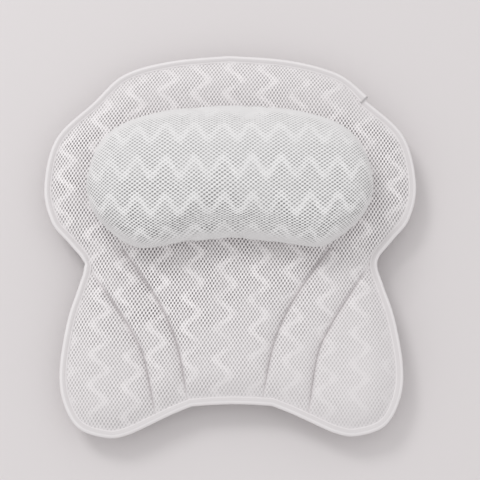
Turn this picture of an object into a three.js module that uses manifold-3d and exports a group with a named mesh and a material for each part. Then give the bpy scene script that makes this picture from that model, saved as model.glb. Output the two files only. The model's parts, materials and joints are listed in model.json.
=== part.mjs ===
// Bath pillow: a quilted mesh back pad with the outline of a butterfly, a stuffed head
// cushion sewn to its front, and suction cups buttoned to webbing tabs on its back.
// Millimetres. +Z is the side that is leaned on, +Y is the head end, and the lips of
// the suction cups stand on the plane z = 0.

import * as THREE from "three";
import { mergeVertices } from "three/addons/utils/BufferGeometryUtils.js";
import Module from "manifold-3d";

const wasm = await Module();
wasm.setup();

// Back pad
const padWidth = 400;
const padLength = 415;
const meshThickness = 2;
const sheetGap = 0.3;
const frontCrown = 12;
const backCrown = 5;
const crownRun = 28;
const crownFullness = 2.5;
const seamFlange = 2.5;
const foldGap = 0.7;
const seamBevel = 1.2;

// Edge tape, folded over the rim of the pad
const tapeWall = 1.1;
const tapeDepth = 8;
const tapeMargin = 2;
const tapeChamfer = 0.9;

// Head cushion
const cushionWidth = 301;
const cushionDepth = 154;
const cushionHeight = 60;
const cushionCentreY = 61.5;
const cushionCrestLength = 176;
const coverThickness = 2.2;
const basePanelThickness = 1.5;

// Suction cups
const lipRadius = 28.5;
const lipWidth = 2.2;
const lipHeight = 1.3;
const dishHeight = 14;
const dishWall = 2.6;
const dishTopRadius = 9;
const neckRadius = 4.2;
const headRadius = 7.5;
const headThickness = 3.6;
const headRound = 1;
const cupPlay = 0.5;
const cupSides = 16;

// Webbing tabs that hold the cups
const strapWidth = 24;
const strapThickness = 1.4;
const strapEndLength = 9;
const strapSlopeLength = 5;
const strapBridgeLength = 20;
const strapHolePlay = 1;

// Fits and cuts
const clearance = 0.3;
const overrun = 5;

// Heights, worked out from the floor up
const strapBottomZ = dishHeight + cupPlay;
const strapTopZ = strapBottomZ + strapThickness;
const headBottomZ = strapTopZ + cupPlay;
const headTopZ = headBottomZ + headThickness;
const backZ = headTopZ + cupPlay;
const midZ = backZ + backCrown + meshThickness + sheetGap / 2;
const frontZ = midZ + sheetGap / 2 + meshThickness + frontCrown;
const cushionZ = frontZ + clearance;

// Half the height of the tape's slot and of the tape, over the middle of the pad
const tapeSlot = sheetGap / 2 + meshThickness + clearance;
const tapeHalf = tapeSlot + tapeWall;

// Outlines of the right half, as shares of half the pad's width and half its length
const lobeShares = [
  [0, 1], [0.32, 0.972], [0.575, 0.9], [0.74, 0.75], [0.94, 0.555],
  [1, 0.3], [0.96, 0.115], [0.87, 0.005], [0.767, -0.107],
];
const wingShares = [
  [0.767, -0.107], [0.815, -0.25], [0.866, -0.41], [0.902, -0.65], [0.882, -0.815],
  [0.8, -0.95], [0.65, -1], [0.54, -0.985], [0.41, -0.929],
];
const stripEndShares = [[0.41, -0.929], [0.31, -0.884], [0.21, -0.845]];
const bottomShares = [[0.21, -0.845], [0.1, -0.838], [0, -0.835]];
const innerSeamShares = [
  [0.52, -0.045], [0.433, -0.171], [0.321, -0.36], [0.25, -0.56], [0.21, -0.845],
];
const outerSeamShares = [
  [0.767, -0.107], [0.653, -0.273], [0.535, -0.455], [0.465, -0.61], [0.41, -0.929],
];
const neckShares = [[0.767, -0.107], [0.52, -0.045]];

// Crests: where the panels are fullest, and where the lines across each panel lead
const lobeCrestShares = [[0, 0.5], [0.4, 0.49], [0.62, 0.38], [0.56, 0.22]];
const neckCrestShares = [[0.56, 0.22], [0.4, 0.145]];
const seamCrestShares = [[0.4, 0.145], [0.12, -0.2], [0.06, -0.56]];
const bottomCrestShares = [[0.06, -0.56], [0, -0.58]];
const wingCrestShares = [[0.715, -0.36], [0.7, -0.62], [0.62, -0.72]];
const wingCrestBackShares = [[0.715, -0.36], [0.66, -0.55], [0.62, -0.72]];
const stripCrestNeckShares = [[0.575, -0.2], [0.55, -0.18]];
const stripCrestOuterShares = [[0.575, -0.2], [0.44, -0.42], [0.335, -0.76]];
const stripCrestEndShares = [[0.335, -0.76], [0.31, -0.75]];
const stripCrestInnerShares = [[0.55, -0.18], [0.405, -0.42], [0.31, -0.75]];

// Rings of a panel, as shares of the crown's run, and how near the crest they may go
const ringShares = [0, 0.18, 0.46, 1];
const innermostRingShare = 0.82;
const ringStepShare = 0.05;

// Kidney outline of the cushion, as shares of half its width and half its depth
const cushionShares = [
  [0, 1], [0.31, 0.965], [0.59, 0.86], [0.82, 0.655], [0.945, 0.34], [1, -0.07],
  [0.985, -0.32], [0.925, -0.57], [0.82, -0.765], [0.64, -0.985], [0.49, -0.975],
  [0.28, -0.88], [0, -0.81],
];

// Side profile of the cushion: shares of the way in to its crest, and of its height
const cushionProfileShares = [
  [0.13, 0], [0.03, 0.13], [0, 0.3], [0.05, 0.56], [0.17, 0.78], [0.4, 0.94], [0.78, 1],
];

// Outside and inside of a cup's dish, as shares of the lip's radius and the dish's height
const dishOutsideShares = [[0.62, 0.79], [0.86, 0.45]];
const dishInsideShares = [[0.78, 0.27], [0.45, 0.6]];

// Cup places on the right half, as shares of half the pad's width and length
const cupPlaceShares = { top: [0.4, 0.62], side: [0.67, 0.2], wing: [0.69, -0.66] };

// How many straight pieces each outline is drawn with
const lobeSteps = 24;
const wingSteps = 16;
const seamSteps = 8;
const neckSteps = 5;
const stripEndSteps = 3;
const bottomSteps = 2;
const cushionHalfSteps = 20;

// Tolerances of the geometry code
const mergeTolerance = 1e-4;
const straightCosine = 0.985;
const bisections = 24;

// Colours and finishes
const meshFinish = { color: 0xf2f1f2, roughness: 0.95, metalness: 0 };
const tapeFinish = { color: 0xf7f5f6, roughness: 0.8, metalness: 0 };
const fillingFinish = { color: 0xf4f2ec, roughness: 1, metalness: 0 };
const strapFinish = { color: 0xe9e8e8, roughness: 0.9, metalness: 0 };
const cupFinish = { color: 0xe3e9ec, roughness: 0.15, metalness: 0 };

// A closed mesh from points and faces, turned to face outwards if it came out inside out
function closedGeometry(points, faces) {
  let sixfoldVolume = 0;
  for (const [a, b, c] of faces) {
    sixfoldVolume += points[a].dot(new THREE.Vector3().crossVectors(points[b], points[c]));
  }
  const outward = sixfoldVolume > 0 ? faces : faces.map(([a, b, c]) => [a, c, b]);
  const geometry = new THREE.BufferGeometry().setFromPoints(points);
  geometry.setIndex(outward.flat());
  return geometry;
}

// The left-hand twin of a right-hand piece
function mirroredGeometry(geometry) {
  const { position } = geometry.attributes;
  const points = [];
  for (let i = 0; i < position.count; i++) {
    points.push(new THREE.Vector3(-position.getX(i), position.getY(i), position.getZ(i)));
  }
  const index = Array.from(geometry.index.array);
  const faces = [];
  for (let i = 0; i < index.length; i += 3) {
    faces.push(index.slice(i, i + 3));
  }
  return closedGeometry(points, faces);
}

// A closed mesh as a solid that can be cut, and a solid as a mesh again
function toSolid(geometry) {
  const plain = geometry.clone();
  plain.deleteAttribute("normal");
  plain.deleteAttribute("uv");
  const merged = mergeVertices(plain, mergeTolerance);
  return new wasm.Manifold(new wasm.Mesh({
    numProp: 3,
    vertProperties: merged.attributes.position.array,
    triVerts: new Uint32Array(merged.index.array),
  }));
}

function toGeometry(solid) {
  const mesh = solid.getMesh();
  const geometry = new THREE.BufferGeometry();
  geometry.setAttribute("position", new THREE.BufferAttribute(mesh.vertProperties, 3));
  geometry.setIndex(new THREE.BufferAttribute(mesh.triVerts, 1));
  return geometry;
}

// Points and curves of the plan, seen from +Z
function padPoint([x, y]) {
  return new THREE.Vector2((x * padWidth) / 2, (y * padLength) / 2);
}

function cushionPoint([x, y]) {
  return new THREE.Vector2((x * cushionWidth) / 2, cushionCentreY + (y * cushionDepth) / 2);
}

function curve(points, steps) {
  return new THREE.SplineCurve(points).getPoints(steps);
}

function mirrored(point) {
  return new THREE.Vector2(-point.x, point.y);
}

// One side of a panel: spokes from points along its rim to points along the crest. The
// last point is left to the next side, so that sides join into a loop.
function side(rimShares, crestShares, steps, kind) {
  const rim = curve(rimShares.map(padPoint), steps);
  const crest = curve(crestShares.map(padPoint), steps);
  return rim.slice(0, steps).map((point, i) => ({ rim: point, crest: crest[i], kind }));
}

function reversedSide(rimShares, crestShares, steps, kind) {
  return side([...rimShares].reverse(), [...crestShares].reverse(), steps, kind);
}

// Moves each edge of a clockwise loop inwards by its own distance, and finds the corners
function insetLoop(points, insets) {
  const count = points.length;
  const inward = points.map((point, i) => {
    const along = points[(i + 1) % count].clone().sub(point).normalize();
    return new THREE.Vector2(along.y, -along.x);
  });
  return points.map((point, i) => {
    const before = (i + count - 1) % count;
    const [a, b] = [inward[before], inward[i]];
    if (a.dot(b) > straightCosine) {
      const mean = (insets[before] + insets[i]) / 2;
      return point.clone().addScaledVector(a.clone().add(b).normalize(), mean);
    }
    const determinant = a.x * b.y - a.y * b.x;
    return point.clone().add(new THREE.Vector2(
      (insets[before] * b.y - insets[i] * a.y) / determinant,
      (insets[i] * a.x - insets[before] * b.x) / determinant,
    ));
  });
}

// Every stitched line of the pad, with the width of the flat strip that it holds down
function stitchedLines() {
  const edge = (shares, steps, flange) => ({ points: curve(shares.map(padPoint), steps), flange });
  const tapeFlange = tapeDepth + tapeMargin;
  const right = [
    edge(lobeShares, lobeSteps, tapeFlange),
    edge(wingShares, wingSteps, tapeFlange),
    edge(stripEndShares, stripEndSteps, tapeFlange),
    edge(bottomShares, bottomSteps, tapeFlange),
    edge(innerSeamShares, seamSteps, seamFlange),
    edge(outerSeamShares, seamSteps, seamFlange),
  ];
  const left = right.map(({ points, flange }) => ({ points: points.map(mirrored), flange }));
  return [...right, ...left];
}

const lines = stitchedLines();

function distanceToSegment(point, start, end) {
  const along = end.clone().sub(start);
  const toPoint = point.clone().sub(start);
  const share = THREE.MathUtils.clamp(toPoint.dot(along) / along.lengthSq(), 0, 1);
  return toPoint.addScaledVector(along, -share).length();
}

// How far up the crown's run a point of the plan is: 0 on a flat stitched strip and
// below, 1 where the padding has its full rise
function runShare(point) {
  let least = Infinity;
  for (const { points, flange } of lines) {
    for (let i = 1; i < points.length; i++) {
      least = Math.min(least, distanceToSegment(point, points[i - 1], points[i]) - flange);
    }
  }
  return least / crownRun;
}

function crownShare(point) {
  return 1 - (1 - THREE.MathUtils.clamp(runShare(point), 0, 1)) ** crownFullness;
}

// Heights of the faces of the three layers over a point of the plan
const frontFace = {
  inner: (point) => midZ + sheetGap / 2 + frontCrown * crownShare(point),
  outer: (point) => frontFace.inner(point) + meshThickness,
  filling: (point) => frontFace.inner(point) - clearance,
};
const backFace = {
  inner: (point) => midZ - sheetGap / 2 - backCrown * crownShare(point),
  outer: (point) => backFace.inner(point) - meshThickness,
  filling: (point) => backFace.inner(point) + clearance,
};

// How far along a spoke the crown's run reaches a wanted share
function alongSpoke(start, end, wanted) {
  let [low, high] = [0, innermostRingShare];
  for (let i = 0; i < bisections; i++) {
    const middle = (low + high) / 2;
    if (runShare(start.clone().lerp(end, middle)) < wanted) {
      low = middle;
    } else {
      high = middle;
    }
  }
  return high;
}

// The outline of a panel, with each kind of side moved inwards by its own distance
function insetPanel(loop, distances) {
  return insetLoop(loop.map((s) => s.rim), loop.map((s) => distances[s.kind]));
}

// The rings of a panel: its rim, then lines at set shares of the crown's run. Spokes that
// start high up or never get so far keep their rings a small step apart. The outer rim is
// set back at the seams, so that a seam is a groove and the panels can fold there.
function panelRings(loop) {
  const distances = { taped: tapeWall + clearance, seam: foldGap / 2, neck: foldGap / 2 };
  const rim = insetPanel(loop, distances);
  const outerRim = insetPanel(loop, { ...distances, seam: foldGap / 2 + seamBevel });
  const rings = ringShares.map(() => []);
  loop.forEach(({ crest }, i) => {
    let last = 0;
    ringShares.forEach((wanted, k) => {
      const room = innermostRingShare - ringStepShare * (ringShares.length - 1 - k);
      const least = last + ringStepShare;
      last = Math.min(Math.max(alongSpoke(rim[i], crest, wanted), least), room);
      rings[k].push(rim[i].clone().lerp(crest, last));
    });
  });
  return [outerRim, rim, ...rings].map((ring) => ring.reverse());
}

function flatRing(ring, z) {
  return ring.map((p) => new THREE.Vector3(p.x, p.y, z));
}

function lifted(rings, height) {
  return rings.map((ring) => ring.map((p) => new THREE.Vector3(p.x, p.y, height(p))));
}

// A closed solid between two stacks of rings. Each stack runs inwards from its rim and
// ends in a cap, and the two rims are joined by a wall unless they are one.
function solidBetween(topRings, bottomRings) {
  const count = topRings[0].length;
  const points = [...topRings.flat(), ...bottomRings.flat()];
  const faces = [];
  const skin = (rings, start, upward) => {
    const face = (a, b, c) => faces.push(upward ? [a, b, c] : [a, c, b]);
    rings.slice(1).forEach((_, k) => {
      for (let i = 0; i < count; i++) {
        const next = (i + 1) % count;
        const [outer, inner] = [start + k * count, start + (k + 1) * count];
        face(outer + i, outer + next, inner + next);
        face(outer + i, inner + next, inner + i);
      }
    });
    const capStart = start + (rings.length - 1) * count;
    const cap = rings[rings.length - 1].map((p) => new THREE.Vector2(p.x, p.y));
    for (const [a, b, c] of THREE.ShapeUtils.triangulateShape(cap, [])) {
      face(capStart + a, capStart + b, capStart + c);
    }
  };
  const bottomStart = topRings.length * count;
  skin(topRings, 0, true);
  skin(bottomRings, bottomStart, false);
  for (let i = 0; i < count && topRings[0] !== bottomRings[0]; i++) {
    const next = (i + 1) % count;
    faces.push([i, bottomStart + i, bottomStart + next], [i, bottomStart + next, next]);
  }
  return closedGeometry(points, faces);
}

// The three layers of a quilted panel. The back rises less, so it has one ring fewer.
function panelLayers(loop) {
  const [outerRim, rim, flangeEnd, shoulder, slope, crownEdge] = panelRings(loop);
  const front = [flangeEnd, shoulder, slope, crownEdge];
  const back = [flangeEnd, shoulder, crownEdge];
  return {
    front: solidBetween(
      lifted([outerRim, ...front], frontFace.outer),
      lifted([rim, ...front], frontFace.inner),
    ),
    filling: solidBetween(
      lifted(front.slice(1), frontFace.filling),
      lifted(back.slice(1), backFace.filling),
    ),
    back: solidBetween(
      lifted([rim, ...back], backFace.inner),
      lifted([outerRim, ...back], backFace.outer),
    ),
  };
}

// The tape's section: x is the distance in from the rim, y the height over the middle
function tapeSection() {
  return [
    [tapeDepth, tapeHalf], [tapeChamfer, tapeHalf], [0, tapeHalf - tapeChamfer],
    [0, tapeChamfer - tapeHalf], [tapeChamfer, -tapeHalf], [tapeDepth, -tapeHalf],
    [tapeDepth, -tapeSlot], [tapeWall, -tapeSlot], [tapeWall, tapeSlot], [tapeDepth, tapeSlot],
  ].map(([x, y]) => new THREE.Vector2(x, y));
}

// A run of tape along a clockwise part of the outline
function tapeRun(path) {
  const section = tapeSection();
  const directions = path.slice(1).map((p, i) => p.clone().sub(path[i]).normalize());
  const points = [];
  path.forEach((point, i) => {
    const before = directions[Math.max(i - 1, 0)];
    const after = directions[Math.min(i, directions.length - 1)];
    const along = before.clone().add(after).normalize();
    const inward = new THREE.Vector2(along.y, -along.x);
    const mitre = 1 / along.dot(after);
    for (const { x, y } of section) {
      const place = point.clone().addScaledVector(inward, x * mitre);
      points.push(new THREE.Vector3(place.x, place.y, midZ + y));
    }
  });
  const faces = [];
  const sides = section.length;
  for (let i = 0; i + 1 < path.length; i++) {
    for (let j = 0; j < sides; j++) {
      const [a, b] = [i * sides + j, i * sides + ((j + 1) % sides)];
      faces.push([a, b, b + sides], [a, b + sides, a + sides]);
    }
  }
  const last = (path.length - 1) * sides;
  for (const [a, b, c] of THREE.ShapeUtils.triangulateShape(section, [])) {
    faces.push([a, c, b], [last + a, last + b, last + c]);
  }
  return closedGeometry(points, faces);
}

// The block that a panel may fill: open beyond its taped rim, and drawn in above and
// below the middle along its seams
function panelBlock(loop) {
  const reachUp = tapeHalf + clearance;
  const drawnIn = (seamBevel * reachUp) / (sheetGap / 2 + meshThickness);
  const ring = (seamInset, z) => {
    const distances = { taped: -overrun, seam: seamInset, neck: foldGap / 2 };
    return flatRing(insetPanel(loop, distances), z).reverse();
  };
  const middle = ring(foldGap / 2, midZ);
  const above = ring(foldGap / 2 + drawnIn, midZ + reachUp);
  const below = ring(foldGap / 2 + drawnIn, midZ - reachUp);
  return solidBetween([middle, above], [middle, below]);
}

// Tape along a panel's rim, cut off where the panel ends
function tapeFor(loop, path) {
  return toGeometry(toSolid(tapeRun(path)).intersect(toSolid(panelBlock(loop))));
}

// The cushion's profile, moved square to itself towards the inside
function cushionProfile(depthIn) {
  const profile = cushionProfileShares.map(
    ([inShare, upShare]) => new THREE.Vector2((inShare * cushionDepth) / 2, upShare * cushionHeight),
  );
  const last = profile.length - 1;
  return profile.map((point, i) => {
    const along = profile[Math.min(i + 1, last)].clone().sub(profile[Math.max(i - 1, 0)]);
    const inward = new THREE.Vector2(along.y, -along.x).normalize();
    if (i === 0) {
      inward.set(1, 0);
    }
    if (i === last) {
      inward.set(0, -1);
    }
    return point.clone().addScaledVector(inward, depthIn);
  });
}

// Rings of the cushion's surface, a distance inside its cover and standing on footZ
function cushionRings(depthIn, footZ) {
  const right = curve(cushionShares.map(cushionPoint), cushionHalfSteps);
  const left = right.slice(1, -1).map(mirrored).reverse();
  const outline = [...right, ...left].reverse();
  return cushionProfile(depthIn).map(({ x, y }, k) => outline.map((rim) => {
    const crest = new THREE.Vector2((rim.x * cushionCrestLength) / cushionWidth, cushionCentreY);
    const place = rim.clone().lerp(crest, (2 * x) / cushionDepth);
    return new THREE.Vector3(place.x, place.y, k === 0 ? footZ : cushionZ + y);
  }));
}

// The cushion's cover is an open shell: a full shape less its hollow, cut flat at the foot
function cushionCover() {
  const outside = cushionRings(0, cushionZ);
  const inside = cushionRings(coverThickness, cushionZ);
  const full = solidBetween(outside, [flatRing(outside[0], cushionZ - overrun)]);
  const hollow = solidBetween(inside, [flatRing(inside[0], cushionZ - 2 * overrun)]);
  const below = new THREE.BoxGeometry(2 * cushionWidth, 2 * cushionDepth, 2 * overrun);
  below.translate(0, cushionCentreY, cushionZ - overrun);
  return toGeometry(toSolid(full).subtract(toSolid(hollow)).subtract(toSolid(below)));
}

function cushionFilling() {
  const rings = cushionRings(coverThickness + clearance, cushionZ + basePanelThickness + clearance);
  return solidBetween(rings, [rings[0]]);
}

function cushionBasePanel() {
  const [foot] = cushionRings(coverThickness + clearance, cushionZ);
  return solidBetween([flatRing(foot, cushionZ + basePanelThickness)], [foot]);
}

// A suction cup: button head, neck and hollow dish in one moulding
function suctionCup() {
  const dishPoint = ([r, z]) => [r * lipRadius, z * dishHeight];
  const profile = [
    [0, headTopZ], [headRadius - headRound, headTopZ], [headRadius, headTopZ - headRound],
    [headRadius, headBottomZ], [neckRadius, headBottomZ], [neckRadius, dishHeight],
    [dishTopRadius, dishHeight], ...dishOutsideShares.map(dishPoint), [lipRadius, lipHeight],
    [lipRadius, 0], [lipRadius - lipWidth, 0], ...dishInsideShares.map(dishPoint),
    [0, dishHeight - dishWall],
  ];
  const points = profile.map(([r, z]) => new THREE.Vector2(r, z)).reverse();
  return new THREE.LatheGeometry(points, cupSides).rotateX(Math.PI / 2);
}

// A webbing tab: sewn flat at both ends, and raised in the middle over the cup's button head
function cupStrap() {
  const seat = backZ - clearance;
  const bridge = strapBridgeLength / 2;
  const slope = bridge + strapSlopeLength;
  const end = slope + strapEndLength;
  const profile = [
    [-end, seat], [-slope, seat], [-bridge, strapTopZ], [bridge, strapTopZ], [slope, seat],
    [end, seat], [end, seat - strapThickness], [slope, seat - strapThickness],
    [bridge, strapBottomZ], [-bridge, strapBottomZ], [-slope, seat - strapThickness],
    [-end, seat - strapThickness],
  ];
  const shape = new THREE.Shape(profile.map(([y, z]) => new THREE.Vector2(y, z)));
  const strip = new THREE.ExtrudeGeometry(shape, { depth: strapWidth, bevelEnabled: false });
  strip.translate(0, 0, -strapWidth / 2);
  strip.rotateY(Math.PI / 2);
  strip.rotateX(Math.PI / 2);
  const holeRadius = neckRadius + strapHolePlay;
  const hole = new THREE.CylinderGeometry(holeRadius, holeRadius, backZ, cupSides);
  hole.rotateX(Math.PI / 2);
  hole.translate(0, 0, strapBottomZ);
  return toGeometry(toSolid(strip).subtract(toSolid(hole)));
}

// Loops of spokes round the panels, clockwise seen from +Z
const mirroredShares = (shares) => shares.map(([x, y]) => [-x, y]);
const leftSide = (rimShares, crestShares, steps, kind) => (
  reversedSide(mirroredShares(rimShares), mirroredShares(crestShares), steps, kind)
);
const mainLoop = [
  ...side(lobeShares, lobeCrestShares, lobeSteps, "taped"),
  ...side(neckShares, neckCrestShares, neckSteps, "neck"),
  ...side(innerSeamShares, seamCrestShares, seamSteps, "seam"),
  ...side(bottomShares, bottomCrestShares, bottomSteps, "taped"),
  ...leftSide(bottomShares, bottomCrestShares, bottomSteps, "taped"),
  ...leftSide(innerSeamShares, seamCrestShares, seamSteps, "seam"),
  ...leftSide(neckShares, neckCrestShares, neckSteps, "neck"),
  ...leftSide(lobeShares, lobeCrestShares, lobeSteps, "taped"),
];
const stripLoop = [
  ...reversedSide(neckShares, stripCrestNeckShares, neckSteps, "neck"),
  ...side(outerSeamShares, stripCrestOuterShares, seamSteps, "seam"),
  ...side(stripEndShares, stripCrestEndShares, stripEndSteps, "taped"),
  ...reversedSide(innerSeamShares, stripCrestInnerShares, seamSteps, "seam"),
];
const wingLoop = [
  ...side(wingShares, wingCrestShares, wingSteps, "taped"),
  ...reversedSide(outerSeamShares, wingCrestBackShares, seamSteps, "seam"),
];

const pillow = new THREE.Group();

function addPiece(name, geometry, finish) {
  const mesh = new THREE.Mesh(geometry, new THREE.MeshStandardMaterial(finish));
  mesh.name = name;
  pillow.add(mesh);
  return mesh;
}

// Middle panel, which crosses from one side to the other
const lobePath = curve(lobeShares.map(padPoint), lobeSteps);
const bottomPath = curve(bottomShares.map(padPoint), bottomSteps);
const leftLobePath = lobePath.slice(1).map(mirrored).reverse();
const leftBottomPath = bottomPath.map(mirrored).reverse();
const mainLayers = panelLayers(mainLoop);
addPiece("front_mesh_main", mainLayers.front, meshFinish);
addPiece("filling_main", mainLayers.filling, fillingFinish);
addPiece("back_mesh_main", mainLayers.back, meshFinish);
addPiece("edge_tape_head", tapeFor(mainLoop, [...leftLobePath, ...lobePath]), tapeFinish);
addPiece("edge_tape_foot", tapeFor(mainLoop, [...bottomPath, ...leftBottomPath.slice(1)]), tapeFinish);

// Panels with a right and a left copy
function addPair(name, geometry, finish) {
  addPiece(`${name}_right`, geometry, finish);
  addPiece(`${name}_left`, mirroredGeometry(geometry), finish);
}

function addPanels(name, loop, tapedShares, tapedSteps) {
  const layers = panelLayers(loop);
  addPair(`front_mesh_${name}`, layers.front, meshFinish);
  addPair(`filling_${name}`, layers.filling, fillingFinish);
  addPair(`back_mesh_${name}`, layers.back, meshFinish);
  const tape = tapeFor(loop, curve(tapedShares.map(padPoint), tapedSteps));
  addPair(`edge_tape_${name}`, tape, tapeFinish);
}

addPanels("strip", stripLoop, stripEndShares, stripEndSteps);
addPanels("wing", wingLoop, wingShares, wingSteps);

// Head cushion
addPiece("cushion_cover", cushionCover(), meshFinish);
addPiece("cushion_filling", cushionFilling(), fillingFinish);
addPiece("cushion_base_panel", cushionBasePanel(), meshFinish);

// Suction cups, each held by its own webbing tab
for (const [where, shares] of Object.entries(cupPlaceShares)) {
  const place = padPoint(shares);
  for (const [hand, x] of [["right", place.x], ["left", -place.x]]) {
    addPiece(`cup_strap_${where}_${hand}`, cupStrap(), strapFinish).position.set(x, place.y, 0);
    addPiece(`suction_cup_${where}_${hand}`, suctionCup(), cupFinish).position.set(x, place.y, 0);
  }
}

export default pillow;
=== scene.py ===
# Bath pillow: the looks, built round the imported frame. Metres. The pad lies face up,
# +Y is the head end, and the suction cups stand on z = 0.

import json
import math

import bpy
import numpy as np
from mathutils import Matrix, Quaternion, Vector, noise
from mathutils.bvhtree import BVHTree
from mathutils.geometry import delaunay_2d_cdt
from mathutils.interpolate import poly_3d_calc


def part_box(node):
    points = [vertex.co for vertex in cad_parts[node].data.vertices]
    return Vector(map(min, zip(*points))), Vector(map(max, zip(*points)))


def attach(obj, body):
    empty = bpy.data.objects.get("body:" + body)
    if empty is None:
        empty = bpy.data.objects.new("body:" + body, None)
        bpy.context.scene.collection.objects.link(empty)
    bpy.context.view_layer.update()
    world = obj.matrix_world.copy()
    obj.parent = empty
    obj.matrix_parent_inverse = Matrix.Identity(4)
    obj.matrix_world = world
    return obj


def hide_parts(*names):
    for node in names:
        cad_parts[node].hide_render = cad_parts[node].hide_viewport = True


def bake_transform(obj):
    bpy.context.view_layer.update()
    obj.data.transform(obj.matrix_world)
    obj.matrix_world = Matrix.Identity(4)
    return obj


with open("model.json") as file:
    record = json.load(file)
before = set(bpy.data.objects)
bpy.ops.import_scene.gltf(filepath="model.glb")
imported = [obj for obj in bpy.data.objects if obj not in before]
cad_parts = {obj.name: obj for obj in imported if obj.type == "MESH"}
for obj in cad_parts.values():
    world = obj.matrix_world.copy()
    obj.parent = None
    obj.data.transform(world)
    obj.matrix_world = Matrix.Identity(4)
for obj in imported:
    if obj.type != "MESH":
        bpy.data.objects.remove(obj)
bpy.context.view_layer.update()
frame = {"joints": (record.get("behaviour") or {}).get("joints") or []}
joints = {joint["name"]: joint for joint in frame["joints"]}

# Sizes that the frame gives
tape_low, tape_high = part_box("edge_tape_head")
_, front_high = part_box("front_mesh_main")
back_low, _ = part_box("back_mesh_main")
cushion_low, cushion_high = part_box("cushion_cover")
half_width = tape_high.x
half_length = tape_high.y
mid_z = (tape_low.z + tape_high.z) / 2
tape_half = tape_high.z - mid_z
front_rise = front_high.z - mid_z
back_rise = mid_z - back_low.z
cushion_half_width = cushion_high.x
cushion_half_depth = (cushion_high.y - cushion_low.y) / 2
cushion_centre_y = (cushion_high.y + cushion_low.y) / 2
cushion_height = cushion_high.z - cushion_low.z

# Camera
view_azimuth = math.radians(0)
view_elevation = math.radians(78.5)
view_distance = 1.62
view_lens = 0.1142
view_target = Vector((0.0102, 0.0004, 0.035))
view_roll = math.radians(-0.45)
sensor_width = 0.036

# Outlines of the right half, as shares of half the pad's width and half its length
lobe_shares = [
    (0, 1), (0.32, 0.972), (0.575, 0.9), (0.74, 0.75), (0.94, 0.555),
    (1, 0.3), (0.96, 0.115), (0.87, 0.005), (0.767, -0.107),
]
wing_shares = [
    (0.767, -0.107), (0.815, -0.25), (0.866, -0.41), (0.902, -0.65), (0.882, -0.815),
    (0.8, -0.95), (0.65, -1), (0.54, -0.985), (0.41, -0.929),
]
strip_end_shares = [(0.41, -0.929), (0.31, -0.884), (0.21, -0.845)]
bottom_shares = [(0.21, -0.845), (0.1, -0.838), (0, -0.835)]
inner_seam_shares = [
    (0.52, -0.045), (0.433, -0.171), (0.321, -0.36), (0.25, -0.56), (0.21, -0.845),
]
outer_seam_shares = [
    (0.767, -0.107), (0.653, -0.273), (0.535, -0.455), (0.465, -0.61), (0.41, -0.929),
]

# How far outwards each sewn seam strays from its drawn place, near its top and at its end
seam_strays = {
    ("inner", "right"): (0.0015, -0.0105), ("outer", "right"): (-0.003, -0.003),
    ("inner", "left"): (0.01, 0.003), ("outer", "left"): (0.001, -0.004),
}
seam_overrun = 0.003

# Kidney outline of the cushion, as shares of half its width and half its depth
cushion_shares = [
    (0, 1), (0.31, 0.965), (0.59, 0.86), (0.82, 0.655), (0.945, 0.34), (1, -0.07),
    (0.985, -0.32), (0.925, -0.57), (0.82, -0.765), (0.64, -0.985), (0.49, -0.975),
    (0.28, -0.88), (0, -0.81),
]

# Pad
cloth_half = 0.0021
seam_half = 0.0011
groove_run = 0.0011
crown_run = 0.03
seam_dip_share = 0.6
seam_dip_left = 0.0072
seam_dip_right = 0.0024
crown_fullness = 1.9
tape_flange = 0.0082
rim_inset = 0.0016
waist_rounding = 0.01
outline_step = 0.002
front_spacing = 0.003
back_spacing = 0.005
lump_size = 0.034
lump_rise = 0.0011
pucker_size = 0.0065
pucker_reach = 0.006
pucker_start_share = 1 / 3
pucker_rise = 0.0008
cut_length = 0.053
groove_rows = (0.0006, 0.0013, 0.0024, 0.0042)

# A soft crease of the cloth that runs into the left inner seam, as shares like the outlines
crease_shares = [
    (-0.642, 0.023), (-0.597, -0.05), (-0.546, -0.113), (-0.491, -0.163), (-0.45, -0.225),
]
crease_depth = 0.0016
crease_run = 0.0022

# Cushion
cushion_crest_half = 0.088
cushion_rounding = 0.03
cushion_sits_headwards = 0.0025
cushion_profile_shares = [
    (0.14, 0), (0.06, 0.12), (0.015, 0.3), (0, 0.48), (0.08, 0.74), (0.3, 0.93), (0.75, 1),
    (1, 1.01),
]

# Lengths too short to count, and distances under which points are one
no_length = 1e-12
same_place = 1e-7
same_rim_place = 1e-9


def smoothstep(low, high, value):
    share = np.clip((value - low) / (high - low), 0, 1)
    return share * share * (3 - 2 * share)


def spline(points, steps):
    """Points along a smooth curve through the given ones."""
    points = np.array(points, float)
    last = len(points) - 1
    made = []
    for step in range(steps + 1):
        place = last * step / steps
        index = min(int(place), last - 1)
        t = place - index
        p0, p1 = points[max(index - 1, 0)], points[index]
        p2, p3 = points[index + 1], points[min(index + 2, last)]
        v0, v1 = (p2 - p0) / 2, (p3 - p1) / 2
        made.append(
            (2 * p1 - 2 * p2 + v0 + v1) * t**3 + (3 * p2 - 3 * p1 - 2 * v0 - v1) * t**2 + v0 * t + p1
        )
    return np.array(made)


spline_steps = 20


def even_spline(shares, scale, step):
    """A curve through points given as shares, at even steps."""
    fine = spline(np.array(shares, float) * scale, spline_steps * len(shares))
    return even_steps(fine, step)


def walked(points):
    """How far along a line each of its points lies."""
    return np.concatenate([[0], np.cumsum(np.linalg.norm(np.diff(points, axis=0), axis=1))])


def even_steps(points, step):
    lengths = walked(points)
    count = max(2, round(lengths[-1] / step))
    wanted = np.linspace(0, lengths[-1], count + 1)
    return np.stack([np.interp(wanted, lengths, column) for column in points.T], 1)


def mirrored(points):
    return points * (-1, 1)


def both_halves(right):
    """The closed line whose right half is given, from the head end to the foot end."""
    return np.concatenate([right[:-1], mirrored(right[1:])[::-1]])


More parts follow.
